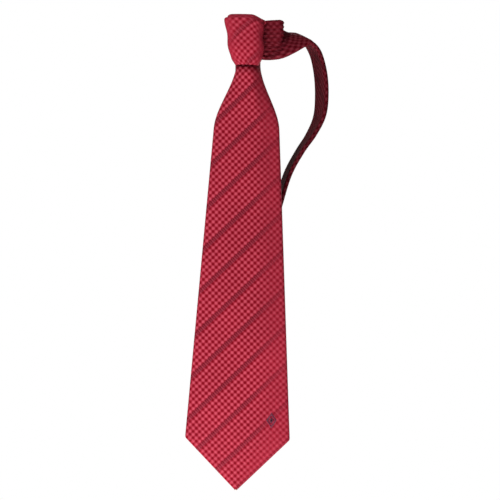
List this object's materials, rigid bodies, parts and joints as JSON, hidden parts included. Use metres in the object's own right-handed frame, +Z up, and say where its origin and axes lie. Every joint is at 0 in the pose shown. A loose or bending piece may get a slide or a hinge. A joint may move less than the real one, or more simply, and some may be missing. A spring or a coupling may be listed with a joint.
{
  "type": "necktie",
  "caption": "Knotted silk necktie, hanging: folded front blade with keeper loop, narrow tail, four-in-hand knot and closed neck loop.",
  "frame": {"origin": "collar seat: middle of the knot, where the neck band rests over a collar", "axes": "+Z up along the hanging tie, -Y towards someone facing the front blade, +X to that viewer's right"},
  "size_m": [0.1124, 0.0561, 0.408],
  "materials": {
    "jacquard_silk": "jacquard-woven silk with a satin sheen",
    "wool_interlining": "brushed wool blend",
    "satin_tipping": "satin lining",
    "woven_label": "damask-woven label, blank",
    "silk_thread": "twisted silk thread",
    "emblem_thread": "plum embroidery thread"
  },
  "bodies": {
    "knot": {"knot_front_wrap": "jacquard_silk", "knot_back_wrap": "jacquard_silk", "knot_blade_pass": "jacquard_silk", "knot_tail_pass": "jacquard_silk", "knot_top_fold": "jacquard_silk", "front_throat_silk": "jacquard_silk", "front_throat_interlining": "wool_interlining", "tail_throat_silk": "jacquard_silk", "tail_throat_interlining": "wool_interlining", "neck_right_root_silk": "jacquard_silk", "neck_right_root_interlining": "wool_interlining", "neck_left_root_silk": "jacquard_silk", "neck_left_root_interlining": "wool_interlining"},
    "neck_loop": {"neck_right_silk": "jacquard_silk", "neck_gusset_silk": "jacquard_silk", "neck_left_silk": "jacquard_silk", "neck_interlining_right": "wool_interlining", "neck_interlining_left": "wool_interlining"},
    "front_blade": {"front_blade_silk": "jacquard_silk", "front_blade_interlining": "wool_interlining", "front_slip_stitch": "silk_thread", "keeper_loop": "jacquard_silk", "keeper_stitch_left": "silk_thread", "keeper_stitch_right": "silk_thread", "blank_label": "woven_label"},
    "front_tip": {"front_tip_silk": "jacquard_silk", "front_tip_interlining": "wool_interlining", "front_tipping": "satin_tipping", "front_bar_tack": "silk_thread", "emblem": "emblem_thread"},
    "tail": {"tail_silk": "jacquard_silk", "tail_interlining": "wool_interlining", "tail_tipping": "satin_tipping", "tail_bar_tack": "silk_thread", "tail_slip_stitch": "silk_thread"},
    "care_label": {"care_label": "woven_label"}
  },
  "joints": [
    {"name": "neck_loop_lift", "type": "hinge", "parent": "knot", "child": "neck_loop", "pos_m": [0, 0.008, 0.0061], "axis": [1, 0, 0], "range_deg": [0, 90]},
    {"name": "blades_swing", "type": "hinge", "parent": "knot", "child": "front_blade", "pos_m": [0, -0.0108, -0.047], "axis": [-1, 0, 0], "range_deg": [0, 75]},
    {"name": "tip_bend", "type": "hinge", "parent": "front_blade", "child": "front_tip", "pos_m": [0, -0.0108, -0.276], "axis": [-1, 0, 0], "range_deg": [0, 100]},
    {"name": "tail_slide", "type": "slide", "parent": "front_blade", "child": "tail", "axis": [0, 0, -1], "range_m": [0, 0.02]},
    {"name": "care_label_flip", "type": "hinge", "parent": "tail", "child": "care_label", "pos_m": [0, -0.0005, -0.271], "axis": [1, 0, 0], "range_deg": [0, 150]}
  ]
}
